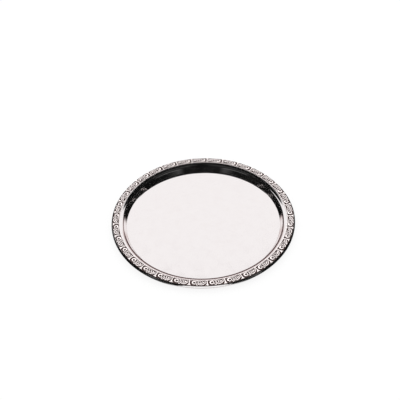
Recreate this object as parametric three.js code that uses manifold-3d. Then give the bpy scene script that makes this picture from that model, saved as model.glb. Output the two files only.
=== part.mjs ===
// Offering plate: a shallow round plate pressed from sheet metal, its edge rolled round a wire,
// with a stamped scroll border soldered on top of the flange in three equal arcs.
// Millimetres, +Z up. The plate stands on z = 0 and is centred on the Z axis.

import * as THREE from 'three';
import { mergeVertices } from 'three/addons/utils/BufferGeometryUtils.js';
import Module from 'manifold-3d';

const wasm = await Module();
wasm.setup();

// Driving dimensions
const plateRadius = 152.4;        // outermost point of the rolled edge
const plateHeight = 13.7;         // resting plane to the crest of the border
const sheetThickness = 0.8;
const wellSideWidth = 12.3;       // from the edge of the flat floor out to the start of the flange
const floorCornerRadius = 3.2;    // bend between floor and wall, at the middle of the sheet
const wallSlope = 64;             // degrees from level
const shoulderRadius = 1.8;       // bend between wall and shoulder
const shoulderSlope = 16;         // smooth ring between wall and border, degrees from level
const flangeBendRadius = 3;       // bend between shoulder and flange
const skirtSlope = 50;            // turned-down edge outside the border, degrees from level
const skirtBendRadius = 0.9;
const skirtLength = 2.1;
const rollWrap = 255;             // how far the sheet goes round the wire, degrees
const wireRadius = 0.8;
const wireClearance = 0.3;        // between the wire and the sheet rolled round it
const borderWidth = 11;
const borderOverhang = 0.4;       // the border's outer edge covers the start of the skirt's bend
const borderInnerHeight = 0.55;   // height of the border's inner edge above its own foot
const borderOuterHeight = 0.6;
const borderCrestHeight = 1.5;
const borderFootWidth = 1.2;      // solid foot along each edge of the hollow strip
const borderRoof = 0.6;           // metal over the hollow, at the crest
const borderPieces = 3;
const borderJointGap = 0.3;       // between the ends of neighbouring strips
const seatGap = 0.3;              // between a piece and the one it is soldered to
const solderSideGap = 1.2;        // between the solder and the strip's feet
const solderEndGap = 1.5;         // the solder stops this far inside the middle of each joint

// Smoothness
const turnSteps = 72;             // flats round the plate
const bendStepDegrees = 22;       // largest turn per flat inside a bend
const borderArcSteps = 6;
const wireSides = 8;
const sectorReach = 1.2;          // radius of the wedge, in plate radii
const sectorSteps = 12;           // flats of the wedge that cuts a ring into arcs
const weldDistance = 1e-4;        // points of one solid closer than this are one point

// Heights and radii that follow from the driving dimensions
const flangeTop = plateHeight - borderCrestHeight - seatGap;
const borderFoot = flangeTop + seatGap;
const rollRadius = wireRadius + wireClearance + sheetThickness / 2;   // at the middle of the sheet

const degrees = THREE.MathUtils.degToRad;

// The middle line of the sheet, drawn as a run of straights and bends. Each point keeps the
// direction of the sheet there, so both faces of the sheet can be set off from the line.
class SheetLine {
  constructor(x, y) {
    this.position = new THREE.Vector2(x, y);
    this.heading = 0;
    this.points = [];
    this.mark();
  }

  mark() {
    this.points.push({ position: this.position.clone(), heading: this.heading });
  }

  straight(length) {
    const step = new THREE.Vector2(Math.cos(this.heading), Math.sin(this.heading));
    this.position.addScaledVector(step, length);
    this.mark();
    return this;
  }

  // A bend turns the heading by the given degrees, to the left when they are positive.
  bend(radius, turnDegrees) {
    const steps = Math.ceil(Math.abs(turnDegrees) / bendStepDegrees);
    const turn = degrees(turnDegrees) / steps;
    const chord = 2 * radius * Math.sin(Math.abs(turn) / 2);
    for (let step = 0; step < steps; step++) {
      const chordHeading = this.heading + turn / 2;
      this.position.x += chord * Math.cos(chordHeading);
      this.position.y += chord * Math.sin(chordHeading);
      this.heading += turn;
      this.mark();
    }
    return this;
  }

  face(offset) {
    return this.points.map(({ position, heading }) => new THREE.Vector2(
      position.x - offset * Math.sin(heading),
      position.y + offset * Math.cos(heading),
    ));
  }
}

// How far a bend reaches along its first heading and across it.
function bendReach(radius, fromDegrees, toDegrees) {
  return {
    along: radius * Math.abs(Math.sin(degrees(toDegrees)) - Math.sin(degrees(fromDegrees))),
    up: radius * Math.abs(Math.cos(degrees(toDegrees)) - Math.cos(degrees(fromDegrees))),
  };
}

const skirtBend = bendReach(skirtBendRadius, 0, skirtSlope);

// The rolled edge touches the plate's radius, and hangs from the flange by the skirt.
const rollCentre = new THREE.Vector2(
  plateRadius - sheetThickness / 2 - rollRadius,
  flangeTop - sheetThickness / 2 - skirtBend.up - skirtLength * Math.sin(degrees(skirtSlope))
    - rollRadius * Math.cos(degrees(skirtSlope)),
);

const flangeEnd = rollCentre.x + rollRadius * Math.sin(degrees(skirtSlope))
  - skirtLength * Math.cos(degrees(skirtSlope)) - skirtBend.along;
const borderOuterRadius = flangeEnd + borderOverhang;
const borderInnerRadius = borderOuterRadius - borderWidth;
const flangeStart = borderInnerRadius - seatGap;
const floorRadius = flangeStart - wellSideWidth;

// Wall and shoulder share what is left of the well side's width and height after the bends.
function wallAndShoulderLengths() {
  const corner = bendReach(floorCornerRadius, 0, wallSlope);
  const shoulder = bendReach(shoulderRadius, wallSlope, shoulderSlope);
  const flangeBend = bendReach(flangeBendRadius, shoulderSlope, 0);
  const along = wellSideWidth - corner.along - shoulder.along - flangeBend.along;
  const up = flangeTop - sheetThickness - corner.up - shoulder.up - flangeBend.up;
  const wallCos = Math.cos(degrees(wallSlope));
  const ringCos = Math.cos(degrees(shoulderSlope));
  const ringSin = Math.sin(degrees(shoulderSlope));
  const wall = (up * ringCos - along * ringSin) / Math.sin(degrees(wallSlope - shoulderSlope));
  return { wall, shoulder: (along - wall * wallCos) / ringCos };
}

function sheetLine() {
  const { wall, shoulder } = wallAndShoulderLengths();
  return new SheetLine(0, sheetThickness / 2)
    .straight(floorRadius)
    .bend(floorCornerRadius, wallSlope)
    .straight(wall)
    .bend(shoulderRadius, shoulderSlope - wallSlope)
    .straight(shoulder)
    .bend(flangeBendRadius, -shoulderSlope)
    .straight(flangeEnd - flangeStart)
    .bend(skirtBendRadius, -skirtSlope)
    .straight(skirtLength)
    .bend(rollRadius, -rollWrap);
}

function metal(name, colour, roughness) {
  return new THREE.MeshStandardMaterial({ name, color: colour, roughness, metalness: 1 });
}

const plateMetal = metal('polished plate', 0xe9e4e3, 0.06);
const borderMetal = metal('stamped border', 0xdcd2cf, 0.18);
const wireMetal = metal('drawn wire', 0x9a9c9f, 0.4);
const solderMetal = metal('soft solder', 0x84868a, 0.55);

// A profile of radius and height turned round the plate's axis.
function turned(profile) {
  return new THREE.LatheGeometry(profile, turnSteps).rotateX(Math.PI / 2);
}

function solidOf(geometry) {
  const shape = geometry.clone();
  shape.deleteAttribute('normal');
  shape.deleteAttribute('uv');
  const merged = mergeVertices(shape, weldDistance);
  return new wasm.Manifold(new wasm.Mesh({
    numProp: 3,
    vertProperties: Float32Array.from(merged.attributes.position.array),
    triVerts: Uint32Array.from(merged.index.array),
  }));
}

function geometryOf(solid) {
  const { vertProperties, triVerts } = solid.getMesh();
  const geometry = new THREE.BufferGeometry();
  geometry.setAttribute('position', new THREE.BufferAttribute(vertProperties, 3));
  geometry.setIndex(new THREE.BufferAttribute(triVerts, 1));
  geometry.computeVertexNormals();
  return geometry;
}

// A full ring cut down to one of the border's equal arcs, short of each end by the given gap.
function borderArc(ring, piece, endGap) {
  const reach = plateRadius * sectorReach;
  const pitch = 2 * Math.PI / borderPieces;
  const endTurn = endGap / borderOuterRadius;
  const start = piece * pitch + endTurn;
  const end = (piece + 1) * pitch - endTurn;
  const sector = new THREE.Shape();
  sector.moveTo(0, 0);
  sector.lineTo(reach * Math.cos(start), reach * Math.sin(start));
  sector.absarc(0, 0, reach, start, end, false);
  const wedge = new THREE.ExtrudeGeometry(sector, {
    depth: 2 * plateHeight,
    bevelEnabled: false,
    curveSegments: sectorSteps,
  });
  return geometryOf(solidOf(ring).intersect(solidOf(wedge)));
}

// Points along a low arch that starts and ends at the given points, with its crest between them.
function archPoints(start, end, crest) {
  const middle = (start.x + end.x) / 2;
  return Array.from({ length: borderArcSteps + 1 }, (_, step) => {
    const share = step / borderArcSteps;
    const x = THREE.MathUtils.lerp(start.x, end.x, share);
    const chord = THREE.MathUtils.lerp(start.y, end.y, share);
    const rise = crest - THREE.MathUtils.lerp(start.y, end.y, 0.5);
    const fromMiddle = (x - middle) / (end.x - middle);
    return new THREE.Vector2(x, chord + rise * (1 - fromMiddle * fromMiddle));
  });
}

// The stamped strip is arched on top and hollow below, with a solid foot along each edge.
function borderRing() {
  const innerTop = new THREE.Vector2(borderInnerRadius, borderFoot + borderInnerHeight);
  const outerTop = new THREE.Vector2(borderOuterRadius, borderFoot + borderOuterHeight);
  const hollowInner = new THREE.Vector2(borderInnerRadius + borderFootWidth, borderFoot);
  const hollowOuter = new THREE.Vector2(borderOuterRadius - borderFootWidth, borderFoot);
  const hollowTop = borderFoot + borderCrestHeight - borderRoof;
  const profile = [
    new THREE.Vector2(borderInnerRadius, borderFoot),
    ...archPoints(hollowInner, hollowOuter, hollowTop),
    new THREE.Vector2(borderOuterRadius, borderFoot),
    ...archPoints(innerTop, outerTop, borderFoot + borderCrestHeight).reverse(),
  ];
  return turned([...profile, profile[0].clone()]);
}

// The solder fills the strip's hollow, clear of its roof and its feet.
function solderRing() {
  const sideInset = borderFootWidth + solderSideGap;
  const inner = new THREE.Vector2(borderInnerRadius + sideInset, borderFoot);
  const outer = new THREE.Vector2(borderOuterRadius - sideInset, borderFoot);
  const top = borderFoot + borderCrestHeight - borderRoof - seatGap;
  return turned([inner, ...archPoints(inner, outer, top).reverse()]);
}

function pan() {
  const line = sheetLine();
  const upperFace = line.face(sheetThickness / 2);
  const lowerFace = line.face(-sheetThickness / 2);
  return turned([...lowerFace, ...upperFace.reverse()]);
}

function rimWire() {
  const wire = new THREE.EllipseCurve(rollCentre.x, rollCentre.y, wireRadius, wireRadius);
  return turned(wire.getPoints(wireSides));
}

function addPiece(name, geometry, material) {
  const mesh = new THREE.Mesh(geometry, material);
  mesh.name = name;
  group.add(mesh);
}

const group = new THREE.Group();
addPiece('pan', pan(), plateMetal);
addPiece('rim_wire', rimWire(), wireMetal);
for (let piece = 0; piece < borderPieces; piece++) {
  const letter = String.fromCharCode('a'.charCodeAt(0) + piece);
  addPiece(`border_strip_${letter}`, borderArc(borderRing(), piece, borderJointGap / 2), borderMetal);
  addPiece(`solder_fill_${letter}`, borderArc(solderRing(), piece, solderEndGap), solderMetal);
}

export default group;
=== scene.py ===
# Offering plate: fine metalwork, finishes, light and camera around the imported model.
import bpy
import bmesh
import math
import numpy as np
from mathutils import Matrix, Vector, geometry


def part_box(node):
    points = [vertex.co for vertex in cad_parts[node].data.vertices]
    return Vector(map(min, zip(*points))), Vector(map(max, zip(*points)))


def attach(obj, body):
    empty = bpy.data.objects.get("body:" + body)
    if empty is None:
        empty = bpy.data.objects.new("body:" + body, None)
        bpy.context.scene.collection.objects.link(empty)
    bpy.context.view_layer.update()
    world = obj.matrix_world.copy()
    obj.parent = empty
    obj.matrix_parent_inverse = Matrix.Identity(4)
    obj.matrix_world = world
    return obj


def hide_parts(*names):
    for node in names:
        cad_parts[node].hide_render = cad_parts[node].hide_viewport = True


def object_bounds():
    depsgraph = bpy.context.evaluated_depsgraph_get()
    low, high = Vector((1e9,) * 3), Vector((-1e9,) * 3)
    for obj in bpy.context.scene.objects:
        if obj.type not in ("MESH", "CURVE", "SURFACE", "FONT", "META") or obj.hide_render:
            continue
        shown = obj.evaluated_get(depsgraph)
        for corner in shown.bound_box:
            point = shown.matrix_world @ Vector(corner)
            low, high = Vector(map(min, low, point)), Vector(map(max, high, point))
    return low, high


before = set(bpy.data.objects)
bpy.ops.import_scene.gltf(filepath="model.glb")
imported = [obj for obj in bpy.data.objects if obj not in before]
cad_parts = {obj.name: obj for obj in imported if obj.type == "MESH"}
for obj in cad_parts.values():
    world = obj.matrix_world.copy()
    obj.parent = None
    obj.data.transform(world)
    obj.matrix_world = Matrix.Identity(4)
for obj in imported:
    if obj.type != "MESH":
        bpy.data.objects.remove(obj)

cadLow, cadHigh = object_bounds()
mm = 0.001
axisUp = Vector((0, 0, 1))


def finishMesh(name, bm, material, smoothAngle=None):
    # turns a finished bmesh into an object at the origin that rides with the plate
    mesh = bpy.data.meshes.new(name)
    bm.to_mesh(mesh)
    bm.free()
    mesh.materials.append(material)
    for face in mesh.polygons:
        face.use_smooth = True
    if smoothAngle:
        mesh.set_sharp_from_angle(angle=math.radians(smoothAngle))
    piece = bpy.data.objects.new(name, mesh)
    bpy.context.scene.collection.objects.link(piece)
    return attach(piece, "root") or piece


class Tap:
    # a node's output that can be added, multiplied and so on, and that starts other nodes
    def __init__(self, tree, socket=None):
        self.tree = tree
        self.socket = socket

    def node(self, kind, settings=None, inputs=None, output=0):
        made = self.tree.nodes.new(kind)
        for key, value in (settings or {}).items():
            if key == "stops":
                self.setStops(made.color_ramp, value)
            else:
                setattr(made, key, value)
        for key, value in (inputs or {}).items():
            if isinstance(value, Tap):
                self.tree.links.new(value.socket, made.inputs[key])
            else:
                made.inputs[key].default_value = value
        return Tap(self.tree, made.outputs[output] if len(made.outputs) else None)

    def setStops(self, ramp, stops):
        while len(ramp.elements) < len(stops):
            ramp.elements.new(0.5)
        for element, (position, colour) in zip(ramp.elements, stops):
            element.position = position
            element.color = colour

    def maths(self, operation, *values):
        inputs = {place: value for place, value in enumerate(values)}
        return self.node("ShaderNodeMath", {"operation": operation}, inputs)

    def __add__(self, other): return self.maths("ADD", self, other)
    def __radd__(self, other): return self.maths("ADD", other, self)
    def __sub__(self, other): return self.maths("SUBTRACT", self, other)
    def __rsub__(self, other): return self.maths("SUBTRACT", other, self)
    def __mul__(self, other): return self.maths("MULTIPLY", self, other)
    def __rmul__(self, other): return self.maths("MULTIPLY", other, self)
    def __truediv__(self, other): return self.maths("DIVIDE", self, other)
    def __rtruediv__(self, other): return self.maths("DIVIDE", other, self)

    def ramp(self, low, high):
        # 0 below low, 1 above high, eased between
        return self.node("ShaderNodeMapRange", {"interpolation_type": "SMOOTHSTEP"},
                         {"Value": self, "From Min": low, "From Max": high})

    def axis(self, letter):
        return self.node("ShaderNodeSeparateXYZ", None, {0: self}, letter)

    def noise(self, scale, detail, roughness=0.5):
        return self.node("ShaderNodeTexNoise", None, {"Vector": self, "Scale": scale,
                                                      "Detail": detail, "Roughness": roughness})

    def blend(self, first, second):
        # the first colour where this is 0, the second where it is 1
        return self.node("ShaderNodeMix", {"data_type": "RGBA"}, {0: self, 6: first, 7: second}, 2)

    def bump(self, height, strength, distance):
        return self.node("ShaderNodeBump", None,
                         {"Height": height, "Strength": strength, "Distance": distance})


def newMaterial(name):
    material = bpy.data.materials.new(name)
    material.use_nodes = True
    material.node_tree.nodes.clear()
    return material, Tap(material.node_tree)


def onObject(start):
    return start.node("ShaderNodeTexCoord", None, None, "Object")


def surface(start, inputs):
    shader = start.node("ShaderNodeBsdfPrincipled", None, inputs)
    start.node("ShaderNodeOutputMaterial", None, {"Surface": shader})


polish = {
    "tint": (0.93, 0.905, 0.9, 1),
    "warmTint": (0.9, 0.865, 0.86, 1),
    "roughness": 0.045,
    "haze": 0.05,
    "hazeRamp": (0.35, 0.75),
    "warmShare": 0.5,
    "swirlScale": 55,
    "swirlRoughness": 0.6,
    "waveScale": 9,
    "waveStrength": 0.25,
    "waveHeight": 0.00004,
}


def polishedPlate():
    material, start = newMaterial("polished silver plate")
    spot = onObject(start)
    haze = spot.noise(polish["swirlScale"], 6, polish["swirlRoughness"]).ramp(*polish["hazeRamp"])
    waves = spot.noise(polish["waveScale"], 1)
    tint = (haze * polish["warmShare"]).blend(polish["tint"], polish["warmTint"])
    normal = start.bump(waves, polish["waveStrength"], polish["waveHeight"])
    surface(start, {"Base Color": tint, "Metallic": 1.0,
                      "Roughness": haze * polish["haze"] + polish["roughness"], "Normal": normal})
    return material


# Colour of the stamped border: the raised metal is painted pale, a painted highlight, and the hollows are
# painted near black, partly tarnish in the recesses and partly painted shade.
relief = {
    "bright": (1.0, 0.925, 0.91, 1),
    "dark": (0.06, 0.035, 0.032, 1),
    "roughness": 0.22,
    "hollowRoughness": 0.3,
    "hollowFrom": 0.42,
    "hollowTo": 0.86,
    "metallic": 0.45,        # below 1, so raised parts stay pale where metal would mirror dark: a painted highlight
    "grainScale": 900,
    "grainShare": 0.12,      # how far the grain breaks up the edge of the dark hollows, which are partly tarnish and partly painted shade
    "grainStrength": 0.15,
    "grainHeight": 0.00006,
}


def stampedBorder():
    material, start = newMaterial("stamped border plate")
    spot = onObject(start)
    height = start.node("ShaderNodeAttribute", {"attribute_name": "relief"}, None, "Fac")
    grain = spot.noise(relief["grainScale"], 4)
    uneven = height + grain * relief["grainShare"] - relief["grainShare"] / 2
    # painted shade with tarnish in the low parts of the relief, painted highlight on the raised parts
    hollow = 1.0 - uneven.ramp(relief["hollowFrom"], relief["hollowTo"])
    tint = hollow.blend(relief["bright"], relief["dark"])
    rough = hollow * relief["hollowRoughness"] + relief["roughness"]
    normal = start.bump(grain, relief["grainStrength"], relief["grainHeight"])
    surface(start, {"Base Color": tint, "Metallic": relief["metallic"], "Roughness": rough,
                      "Normal": normal})
    return material


wireFinish = {
    "dark": (0.5, 0.5, 0.51, 1),
    "light": (0.66, 0.66, 0.66, 1),
    "grainScale": 400,
    "roughness": 0.25,
    "uneven": 0.25,
    "bumpStrength": 0.3,
    "bumpHeight": 0.0001,
}

solderFinish = {
    "dark": (0.36, 0.37, 0.38, 1),
    "light": (0.56, 0.56, 0.56, 1),
    "grainScale": 160,
    "roughness": 0.4,
    "uneven": 0.3,
    "bumpStrength": 0.5,
    "bumpHeight": 0.0002,
}


def grainyMetal(name, finish):
    material, start = newMaterial(name)
    grain = onObject(start).noise(finish["grainScale"], 5)
    surface(start, {"Base Color": grain.blend(finish["dark"], finish["light"]), "Metallic": 1.0,
                    "Roughness": grain * finish["uneven"] + finish["roughness"],
                    "Normal": start.bump(grain, finish["bumpStrength"], finish["bumpHeight"])})
    return material


# The pan is one sheet from the floor to the wired edge. Lengths in millimetres, slopes in degrees.
sheet = {
    "thickness": 0.8,
    "wellSideWidth": 10.9,
    "cornerRadius": 0.8,
    "wallSlope": 62.5,
    "shoulderRadius": 6.0,
    "shoulderSlope": 24,     # where the shoulder goes over into the crowned ring
    "ringSlope": 8,          # where the ring goes over into the flange
    "flangeBendRadius": 3.0,
    "skirtSlope": 50,
    "skirtBendRadius": 0.9,
    "skirtLength": 2.1,
    "rollRadius": 1.5,
    "rollWrap": 255,
    "borderWidth": 11.0,
    "borderOverhang": 0.4,
    "seatGap": 0.3,
    "turnSteps": 264,
    "bendStep": 4,
    "holdLoop": 0.25,
}


class SheetRun:
    # walks along the middle of the sheet and leaves a vertex on its upper face at each stop
    def __init__(self, bm, height):
        self.bm = bm
        self.x, self.z, self.heading = 0.0, height, 0.0
        self.last = None
        self.stop()

    def stop(self):
        half = sheet["thickness"] / 2
        x = self.x - half * math.sin(self.heading)
        z = self.z + half * math.cos(self.heading)
        vertex = self.bm.verts.new((max(x, 0) * mm, 0, z * mm))
        if self.last:
            self.bm.edges.new((self.last, vertex))
        self.last = vertex

    def step(self, length):
        self.x += length * math.cos(self.heading)
        self.z += length * math.sin(self.heading)
        self.stop()

    def straight(self, length):
        # loops close to both ends keep the mirror flat right up to the bends
        hold = min(sheet["holdLoop"], length / 4)
        for part in (hold, length - 2 * hold, hold):
            self.step(part)

    def bend(self, radius, degrees):
        steps = math.ceil(abs(degrees) / sheet["bendStep"])
        turn = math.radians(degrees) / steps
        for _ in range(steps):
            self.heading += turn / 2
            chord = 2 * radius * math.sin(abs(turn) / 2)
            self.x += chord * math.cos(self.heading)
            self.z += chord * math.sin(self.heading)
            self.heading += turn / 2
            self.stop()


def reach(radius, fromSlope, toSlope):
    a, b = math.radians(fromSlope), math.radians(toSlope)
    return radius * abs(math.sin(b) - math.sin(a)), radius * abs(math.cos(b) - math.cos(a))


def sheetPlan():
    # radii and heights of the sheet, in millimetres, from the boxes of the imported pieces
    panLow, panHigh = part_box("pan")
    wireLow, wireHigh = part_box("rim_wire")
    plan = {"flangeTop": panHigh.z / mm}
    wireRadius = (wireHigh.z - wireLow.z) / 2 / mm
    plan["rollX"] = wireHigh.x / mm - wireRadius
    skirtBendX, skirtBendZ = reach(sheet["skirtBendRadius"], 0, sheet["skirtSlope"])
    slope = math.radians(sheet["skirtSlope"])
    plan["flangeEnd"] = (plan["rollX"] + sheet["rollRadius"] * math.sin(slope)
                         - sheet["skirtLength"] * math.cos(slope) - skirtBendX)
    plan["borderOuter"] = plan["flangeEnd"] + sheet["borderOverhang"]
    plan["borderInner"] = plan["borderOuter"] - sheet["borderWidth"]
    plan["flangeStart"] = plan["borderInner"] - sheet["seatGap"]
    plan["floorRadius"] = plan["flangeStart"] - sheet["wellSideWidth"]
    corner = reach(sheet["cornerRadius"], 0, sheet["wallSlope"])
    shoulder = reach(sheet["shoulderRadius"], sheet["wallSlope"], sheet["shoulderSlope"])
    flangeBend = reach(sheet["flangeBendRadius"], sheet["ringSlope"], 0)
    along = sheet["wellSideWidth"] - corner[0] - shoulder[0] - flangeBend[0]
    up = plan["flangeTop"] - sheet["thickness"] - corner[1] - shoulder[1] - flangeBend[1]
    # the wall's length and the ring's radius together fill what is left, across and up
    wallSlope = math.radians(sheet["wallSlope"])
    ringAlong, ringUp = reach(1, sheet["shoulderSlope"], sheet["ringSlope"])
    scale = math.cos(wallSlope) * ringUp - ringAlong * math.sin(wallSlope)
    plan["wall"] = (along * ringUp - ringAlong * up) / scale
    plan["ringRadius"] = (math.cos(wallSlope) * up - math.sin(wallSlope) * along) / scale
    return plan


def makePan(plan, material):
    bm = bmesh.new()
    run = SheetRun(bm, sheet["thickness"] / 2)
    run.straight(plan["floorRadius"])
    run.bend(sheet["cornerRadius"], sheet["wallSlope"])
    run.straight(plan["wall"])
    run.bend(sheet["shoulderRadius"], sheet["shoulderSlope"] - sheet["wallSlope"])
    run.bend(plan["ringRadius"], sheet["ringSlope"] - sheet["shoulderSlope"])
    run.bend(sheet["flangeBendRadius"], -sheet["ringSlope"])
    run.straight(plan["flangeEnd"] - plan["flangeStart"])
    run.bend(sheet["skirtBendRadius"], -sheet["skirtSlope"])
    run.straight(sheet["skirtLength"])
    run.bend(sheet["rollRadius"], -sheet["rollWrap"])
    bmesh.ops.spin(bm, geom=bm.verts[:] + bm.edges[:], cent=(0, 0, 0), axis=axisUp,
                   angle=2 * math.pi, steps=sheet["turnSteps"], use_merge=True)
    bmesh.ops.remove_doubles(bm, verts=bm.verts[:], dist=0.002 * mm)
    bm.normal_update()
    floorFace = min(bm.faces, key=lambda face: face.calc_center_median().xy.length)
    if floorFace.normal.z < 0:
        bmesh.ops.reverse_faces(bm, faces=bm.faces[:])
    bmesh.ops.solidify(bm, geom=bm.faces[:], thickness=sheet["thickness"] * mm)
    pan = finishMesh("plate_body", bm, material, 50)
    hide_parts("pan")
    return pan


# The border is one repeat of scrolls and leaves, copied along each strip. Millimetres.
border = {
    "repeats": 33,
    "strips": 3,
    "gridAlong": 124,
    "gridAcross": 50,
    "ground": 0.12,          # height of the sunk ground over the flange, as a share of the arch
    "groundLift": 0.2,       # and a fixed part on top of that
    "innerBead": (0.5, 0.62, 0.8),       # plain line along each edge: place, half width, height
    "outerBead": (10.75, 0.3, 0.5),
    "boldness": 0.9,         # widens or narrows every stroke
    "domePower": 0.4,
    "innerHeight": 0.55,     # of the strip's edges
    "outerHeight": 0.6,
    "footWidth": 0.8,
    "footGap": 0.02,
    "weld": 0.01,
    "hollow": 0.26,          # height of the hollow under the strip
    "sideLean": 0.1,
    "endGap": 0.14,
}


def bezier(a, b, c, d, steps=14):
    points = geometry.interpolate_bezier(Vector(a), Vector(b), Vector(c), Vector(d), steps)
    return [(p.x, p.y) for p in points]


def spiral(centre, startRadius, endRadius, startAngle, turn, squash=1.0, steps=26):
    points = []
    for step in range(steps + 1):
        share = step / steps
        radius = startRadius + (endRadius - startRadius) * share
        angle = math.radians(startAngle + turn * share)
        points.append((centre[0] + radius * math.cos(angle),
                       centre[1] + radius * squash * math.sin(angle)))
    return points


def strokes():
    # one repeat, in millimetres: along the rim, and across it from the inner edge outwards
    # each stroke: its points, its half width at the start, middle and end, and its height
    lines = [
        # the post, and the wedge that it opens into at the outer edge
        (bezier((3.5, 0.6), (3.5, 3.0), (3.5, 5.0), (3.5, 7.5)), (0.95, 0.85, 1.05), 1.0),
        (bezier((3.5, 6.8), (3.3, 8.4), (2.6, 9.6), (1.6, 10.7)), (0.95, 0.85, 0.7), 1.0),
        (bezier((3.5, 6.8), (3.8, 8.4), (4.6, 9.6), (5.7, 10.7)), (0.95, 0.85, 0.7), 1.0),
        (bezier((3.5, 7.6), (3.55, 8.6), (3.6, 9.6), (3.6, 10.7)), (1.0, 0.9, 0.9), 0.9),
        # two long leaves that rise from the post, each turned over at its tip
        (bezier((4.9, 4.7), (7.2, 6.3), (8.6, 9.4), (12.9, 9.6)), (0.5, 0.95, 0.8), 0.97),
        (bezier((12.9, 9.6), (14.9, 9.6), (16.1, 9.1), (16.6, 7.9)), (0.8, 0.65, 0.4), 0.95),
        (bezier((5.1, 2.7), (8.6, 4.1), (9.8, 7.2), (14.4, 7.2)), (0.5, 0.85, 0.75), 0.97),
        (bezier((14.4, 7.2), (16.4, 7.2), (17.8, 6.3), (18.9, 4.9)), (0.75, 0.65, 0.35), 0.92),
        # the small curl, the large scroll with a bead in its eye, and the stem of the scroll
        (spiral((18.7, 8.7), 1.7, 1.15, 190, -350), (0.6, 0.6, 0.45), 0.95),
        (spiral((23.7, 5.8), 3.6, 2.0, -110, 520, 0.92, 44), (0.95, 0.8, 0.5), 1.0),
        (spiral((23.9, 5.7), 0.3, 0.2, 0, 180), (0.45, 0.45, 0.45), 0.6),
        (bezier((22.9, 2.4), (19.0, 2.1), (15.0, 2.3), (10.8, 3.0)), (0.7, 0.6, 0.3), 0.95),
    ]
    for start in (9.3, 13.0, 16.7):      # leaflets between the leaf and the stem
        lines.append((bezier((start, 5.5 - abs(start - 13) * 0.12), (start + 0.1, 4.9),
                             (start + 0.6, 4.2), (start + 1.6, 3.6)), (0.85, 0.9, 0.5), 0.95))
    return lines


def dome(distance, width):
    # rounded across a stroke, a little flatter on top than a half circle
    inside = np.clip(1 - (distance / width) ** 2, 0, 1)
    return inside ** border["domePower"]


def reliefHeight(along, across, pitch):
    # 0 on the sunk ground, 1 on the highest metal; takes arrays of points
    height = np.zeros_like(along)
    for points, widths, rise in strokes():
        line = np.array(points)
        for shift in (-pitch, 0, pitch):
            for index in range(len(line) - 1):
                a, b = line[index] + (shift, 0), line[index + 1] + (shift, 0)
                run = b - a
                share = (along - a[0]) * run[0] + (across - a[1]) * run[1]
                share = np.clip(share / max(run @ run, 1e-9), 0, 1)
                gap = np.hypot(along - a[0] - share * run[0], across - a[1] - share * run[1])
                place = (index + share) / (len(line) - 1)
                width = np.interp(place, (0, 0.5, 1), widths) * border["boldness"]
                height = np.maximum(height, rise * dome(gap, width))
    for place, halfWidth, rise in (border["innerBead"], border["outerBead"]):
        height = np.maximum(height, rise * dome(np.abs(across - place), halfWidth))
    return height


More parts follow.
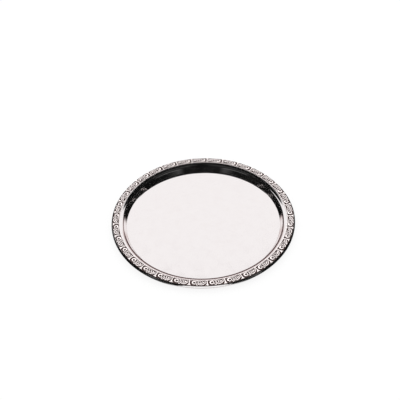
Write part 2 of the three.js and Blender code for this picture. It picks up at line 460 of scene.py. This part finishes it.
def makeBorderStrip(letter, index, plan, material):
    # the arch of the strip: height of its envelope over the foot at a place across the rim
    foot = plan["flangeTop"]
    crest = cadHigh.z / mm - foot
    width = sheet["borderWidth"]
    pitchTurn = 2 * math.pi / border["repeats"]
    pitch = pitchTurn * (plan["borderInner"] + width / 2)
    perStrip = border["repeats"] // border["strips"]

    bm = bmesh.new()
    reliefLayer = bm.verts.layers.float.new("relief")
    bmesh.ops.create_grid(bm, x_segments=border["gridAlong"], y_segments=border["gridAcross"],
                          size=0.5)
    bm.verts.ensure_lookup_table()
    grid = np.array([vertex.co.xy for vertex in bm.verts])
    along = (grid[:, 0] + 0.5) * pitch
    across = (grid[:, 1] + 0.5) * width
    height = reliefHeight(along, across, pitch)
    edges = sheet["seatGap"] + np.interp(across, (0, width),
                                         (border["innerHeight"], border["outerHeight"]))
    middle = across / width * 2 - 1
    envelope = edges + (crest - edges) * (1 - middle ** 2)
    ground = envelope * border["ground"] + border["groundLift"]
    top = foot + ground + (envelope - ground) * height
    turn = -along / pitch * pitchTurn + (index + 1) * perStrip * pitchTurn
    radius = plan["borderInner"] + across
    for vertex, h, r, z, t in zip(bm.verts, height, radius, top, turn):
        vertex[reliefLayer] = h
        vertex.co = Vector((r * math.cos(t), r * math.sin(t), z)) * mm
    bmesh.ops.spin(bm, geom=bm.verts[:] + bm.edges[:] + bm.faces[:], cent=(0, 0, 0),
                   axis=axisUp, angle=-pitchTurn * (perStrip - 1), steps=perStrip - 1,
                   use_duplicate=True)
    bmesh.ops.remove_doubles(bm, verts=bm.verts[:], dist=border["weld"] * mm)

    # each end stands back a little from the joint with the next strip
    halfTurn = perStrip * pitchTurn / 2
    toMiddle = Matrix.Rotation(-(2 * index + 1) * halfTurn, 3, "Z")
    for vertex in bm.verts:
        local = toMiddle @ vertex.co
        offset = math.atan2(local.y, local.x)
        if abs(abs(offset) - halfTurn) < 1e-5:
            back = math.copysign(border["endGap"] * mm / vertex.co.xy.length, -offset)
            vertex.co = Matrix.Rotation(back, 3, "Z") @ vertex.co
    bm.verts.ensure_lookup_table()

    # side walls down to the flange, feet, and the hollow between them
    def rimEdges(radius):
        return [edge for edge in bm.edges if edge.is_boundary
                and all(abs(v.co.xy.length / mm - radius) < 0.02 for v in edge.verts)]

    def fold(edges, radius, height):
        # a further row of faces from these edges, to another radius and height
        made = bmesh.ops.extrude_edge_only(bm, edges=edges)["geom"]
        for vertex in (item for item in made if isinstance(item, bmesh.types.BMVert)):
            flat = vertex.co.xy.normalized() * radius * mm
            vertex.co = Vector((flat.x, flat.y, height * mm))
            vertex[reliefLayer] = 0
        return [item for item in made if isinstance(item, bmesh.types.BMEdge)
                and all((v.co.z - height * mm) ** 2 < 1e-14
                        and abs(v.co.xy.length - radius * mm) < 2e-6 for v in item.verts)]

    roof = []
    for radius, inwards in ((plan["borderInner"], 1), (plan["borderInner"] + width, -1)):
        footRadius = radius + inwards * border["footWidth"]
        edges = fold(rimEdges(radius), radius, foot + border["footGap"])
        edges = fold(edges, footRadius, foot + border["footGap"])
        roof += fold(edges, footRadius + inwards * border["sideLean"], foot + border["hollow"])
    bmesh.ops.bridge_loops(bm, edges=roof)
    bmesh.ops.holes_fill(bm, edges=[edge for edge in bm.edges if edge.is_boundary], sides=0)
    bmesh.ops.recalc_face_normals(bm, faces=bm.faces[:])
    strip = finishMesh("border_relief_" + letter, bm, material, 60)
    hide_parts("border_strip_" + letter)
    return strip


# Under each strip lies a thin uneven film of solder. Millimetres.
solder = {
    "sideGap": 0.15,         # from a foot; the hollow's side leans in by 0.1
    "thickness": 0.19,
    "lift": 0.03,
    "widthSteps": 12,
    "ripplePace": 2.5,       # radians of the ripple from one step to the next
    "rippleHeight": 0.02,
    "endGap": 1.5,
    "turnSteps": 72,
}


def makeSolderBed(letter, index, plan, material):
    # a thin uneven film that fills the hollow under a strip
    bm = bmesh.new()
    inner = plan["borderInner"] + border["footWidth"] + solder["sideGap"]
    outer = plan["borderOuter"] - border["footWidth"] - solder["sideGap"]
    low = plan["flangeTop"] + solder["lift"]
    steps = solder["widthSteps"]
    crest = low + solder["thickness"] - solder["rippleHeight"] / 2
    top = [(inner + (outer - inner) * step / steps,
            crest + solder["rippleHeight"] * math.sin(step * solder["ripplePace"]))
           for step in range(steps + 1)]
    ring = [(inner, low)] + top + [(outer, low)]
    stripTurn = 2 * math.pi / border["strips"]
    trim = solder["endGap"] / inner
    start = Matrix.Rotation(index * stripTurn + trim, 3, "Z")
    section = [bm.verts.new(start @ Vector((radius * mm, 0, height * mm))) for radius, height in ring]
    end = bm.faces.new(section)
    bmesh.ops.spin(bm, geom=[end], cent=(0, 0, 0), axis=axisUp, angle=stripTurn - 2 * trim,
                   steps=solder["turnSteps"])
    bmesh.ops.recalc_face_normals(bm, faces=bm.faces[:])
    bed = finishMesh("solder_bed_" + letter, bm, material, 40)
    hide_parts("solder_fill_" + letter)


# Bearings and heights are in degrees, each pair from where a ramp starts to where it ends.
studio = {
    "pale": (1.0, 1.0, 1.0, 1),
    "tableColour": (0.07, 0.07, 0.07, 1),
    "tableRoughness": 0.9,
    "tableGlow": 0.85,
    "tableDrop": 0.00005,        # metres below the plate, so that the two never share a plane
    "tableSize": 12.0,
    "cardLight": 0.85,           # a pale card on the table in front of the plate, seen in its rim
    "cardSide": (0.3, 0.55),
    "stripWidth": 0.15,          # a glowing strip low in front, seen only in the skirt of the rim
    "stripFoot": 0.026,
    "stripTop": 0.046,
    "stripAway": 0.205,
    "stripLight": 1.0,
    "tableMirrored": 0.012,
    "domeLight": 2.15,
    "backdropLight": 0.98,
    "rearLight": 0.97,
    "rearLeft": (-47, -41),
    "rearRight": (40, 50),
    "rearLeftWiden": (21, 29, 30),     # the panel reaches further to the left above this height
    "rearTop": (49.6, 53),
    "rearTopFall": 0.25,
    # light of the rear panel by height, as a share of 90 degrees
    "horizonStops": [(0.0, (0.06, 0.035, 0.035, 1)), (0.185, (0.11, 0.07, 0.07, 1)),
                     (0.25, (0.45, 0.35, 0.34, 1)), (0.315, (0.8, 0.7, 0.69, 1)),
                     (0.38, (1.0, 0.98, 0.985, 1))],
    "outerLift": (22, 36),       # towards the ends of the panel the dark horizon sinks
    "outerLiftRight": 14.0,      # by this much
    "outerLiftLeft": (15, 21, 12),       # between these heights, by this much
    "cornerLight": 0.14,         # dim panels in front, to the left and right
    "cornerFrom": (112, 124),
    "cornerTo": (146, 158),
    "cornerFoot": (11, 14),
    "cornerTop": (20, 26),
    "sideLight": 0.03,
    "sideFrom": (70, 90),
    "sideTo": (150, 165),
    "sideFoot": (40, 55),
    "darkness": 0.004,
}


def stageMesh(name, bm, material):
    mesh = bpy.data.meshes.new(name)
    bm.to_mesh(mesh)
    bm.free()
    mesh.materials.append(material)
    thing = bpy.data.objects.new(name, mesh)
    bpy.context.scene.collection.objects.link(thing)
    return thing


def paleTable():
    # pale to look at and as a light, but dark in the metal apart from the card in front
    material, start = newMaterial("pale table")
    spot = onObject(start)
    inFront = start.maths("MAXIMUM", 0.0 - spot.axis("Y"), 0.0001)
    card = 1.0 - (start.maths("ABSOLUTE", spot.axis("X")) / inFront).ramp(*studio["cardSide"])
    pale = start.node("ShaderNodeBsdfPrincipled", None,
                      {"Base Color": studio["tableColour"], "Roughness": studio["tableRoughness"],
                       "Emission Color": studio["pale"], "Emission Strength": studio["tableGlow"]})
    dark = start.node("ShaderNodeEmission", None,
                      {"Color": studio["pale"], "Strength": studio["tableMirrored"]})
    bright = start.node("ShaderNodeEmission", None,
                        {"Color": studio["pale"], "Strength": studio["cardLight"]})
    mirrored = start.node("ShaderNodeMixShader", None, {0: card, 1: dark, 2: bright})
    ray = start.node("ShaderNodeLightPath", None, None, "Is Glossy Ray")
    both = start.node("ShaderNodeMixShader", None, {0: ray, 1: pale, 2: mirrored})
    start.node("ShaderNodeOutputMaterial", None, {"Surface": both})
    bm = bmesh.new()
    bmesh.ops.create_grid(bm, x_segments=2, y_segments=2, size=studio["tableSize"] / 2)
    bmesh.ops.translate(bm, vec=(0, 0, cadLow.z - studio["tableDrop"]), verts=bm.verts[:])
    stageMesh("table_top", bm, material)


def frontStrip():
    material, start = newMaterial("light strip")
    start.node("ShaderNodeOutputMaterial", None, {"Surface": start.node(
        "ShaderNodeEmission", None, {"Color": studio["pale"], "Strength": studio["stripLight"]})})
    bm = bmesh.new()
    tall = studio["stripTop"] - studio["stripFoot"]
    bmesh.ops.create_grid(bm, x_segments=12, y_segments=2, size=0.5)
    bmesh.ops.scale(bm, vec=(studio["stripWidth"], tall, 1), verts=bm.verts[:])
    bmesh.ops.rotate(bm, cent=(0, 0, 0), matrix=Matrix.Rotation(math.pi / 2, 3, "X"),
                     verts=bm.verts[:])
    bmesh.ops.translate(bm, vec=(0, -studio["stripAway"], studio["stripFoot"] + tall / 2),
                        verts=bm.verts[:])
    strip = stageMesh("light_strip", bm, material)
    strip.visible_camera = strip.visible_diffuse = strip.visible_shadow = False


def glow(start, strength, tint=studio["pale"]):
    return start.node("ShaderNodeBackground", None, {"Color": tint, "Strength": strength})


def studioWorld():
    # what the metal mirrors: a wide soft panel behind the plate, dim ones at the corners and
    # sides, and dark in between; everything else is lit by a pale dome
    world = bpy.data.worlds.new("studio")
    bpy.context.scene.world = world
    world.use_nodes = True
    world.node_tree.nodes.clear()
    start = Tap(world.node_tree)
    direction = start.node("ShaderNodeTexCoord", None, None, "Generated")
    toDegrees = 180 / math.pi
    # 0 behind the plate, + to the right
    bearing = start.maths("ARCTAN2", direction.axis("X"), direction.axis("Y")) * toDegrees
    height = start.maths("ARCSINE", direction.axis("Z")) * toDegrees
    offAxis = start.maths("ABSOLUTE", bearing)
    widenFoot, widenTop, widenBy = studio["rearLeftWiden"]
    widened = bearing + height.ramp(widenFoot, widenTop) * widenBy
    rear = (widened.ramp(*studio["rearLeft"]) * (1.0 - bearing.ramp(*studio["rearRight"]))
            * (1.0 - (height + offAxis * studio["rearTopFall"]).ramp(*studio["rearTop"])))
    liftFoot, liftTop, liftBy = studio["outerLiftLeft"]
    lift = (bearing.ramp(*studio["outerLift"]) * studio["outerLiftRight"]
            + (0.0 - bearing).ramp(*studio["outerLift"]) * height.ramp(liftFoot, liftTop) * liftBy)
    rise = start.node("ShaderNodeValToRGB", {"stops": studio["horizonStops"]}, {0: (height + lift) / 90.0})
    corners = (offAxis.ramp(*studio["cornerFrom"]) * (1.0 - offAxis.ramp(*studio["cornerTo"]))
               * height.ramp(*studio["cornerFoot"]) * (1.0 - height.ramp(*studio["cornerTop"])))
    sides = (offAxis.ramp(*studio["sideFrom"]) * (1.0 - offAxis.ramp(*studio["sideTo"]))
             * height.ramp(*studio["sideFoot"]))
    mirrored = glow(start, studio["darkness"])
    for share, light in ((corners, glow(start, studio["cornerLight"])),
                         (sides, glow(start, studio["sideLight"])),
                         (rear, glow(start, studio["rearLight"], rise))):
        mirrored = start.node("ShaderNodeMixShader", None, {0: share, 1: mirrored, 2: light})
    glossy = start.node("ShaderNodeLightPath", None, None, "Is Glossy Ray")
    camera = start.node("ShaderNodeLightPath", None, None, "Is Camera Ray")
    pale = start.node("ShaderNodeMixShader", None, {0: camera, 1: glow(start, studio["domeLight"]),
                                                    2: glow(start, studio["backdropLight"])})
    both = start.node("ShaderNodeMixShader", None, {0: glossy, 1: pale, 2: mirrored})
    start.node("ShaderNodeOutputWorld", None, {"Surface": both})


view = {
    "distance": 1.3716,
    "elevation": 44.55,
    "roll": -1.75,
    "lens": 74.3,
    "right": 0.00775,
    "down": 0.04125,
}


def placeCamera():
    camera = bpy.data.cameras.new("camera")
    camera.lens = view["lens"]
    camera.sensor_width = 36
    camera.shift_x = -view["right"]
    camera.shift_y = view["down"]
    camera.clip_start, camera.clip_end = 0.05, 50
    holder = bpy.data.objects.new("camera", camera)
    bpy.context.scene.collection.objects.link(holder)
    elevation = math.radians(view["elevation"])
    away = Vector((0, -math.cos(elevation), math.sin(elevation)))
    rimCentre = Vector((0, 0, cadHigh.z))
    turned = (-away).to_track_quat("-Z", "Y").to_matrix().to_4x4()
    holder.matrix_world = (Matrix.Translation(rimCentre + away * view["distance"]) @ turned
                           @ Matrix.Rotation(math.radians(view["roll"]), 4, "Z"))
    bpy.context.scene.camera = holder


placeCamera()
print("camera placed")
plan = sheetPlan()
makePan(plan, polishedPlate())
print("plate body made")
borderPlate = stampedBorder()
for index, letter in enumerate("abc"):
    makeBorderStrip(letter, index, plan, borderPlate)
print("border strips made")
solderMetal = grainyMetal("soft solder", solderFinish)
for index, letter in enumerate("abc"):
    makeSolderBed(letter, index, plan, solderMetal)
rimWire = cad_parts["rim_wire"]
rimWire.data.materials.clear()
rimWire.data.materials.append(grainyMetal("drawn steel wire", wireFinish))
print("solder and rim wire finished")
paleTable()
frontStrip()
studioWorld()
scene = bpy.context.scene
scene.view_settings.view_transform = "Standard"
print("studio ready")
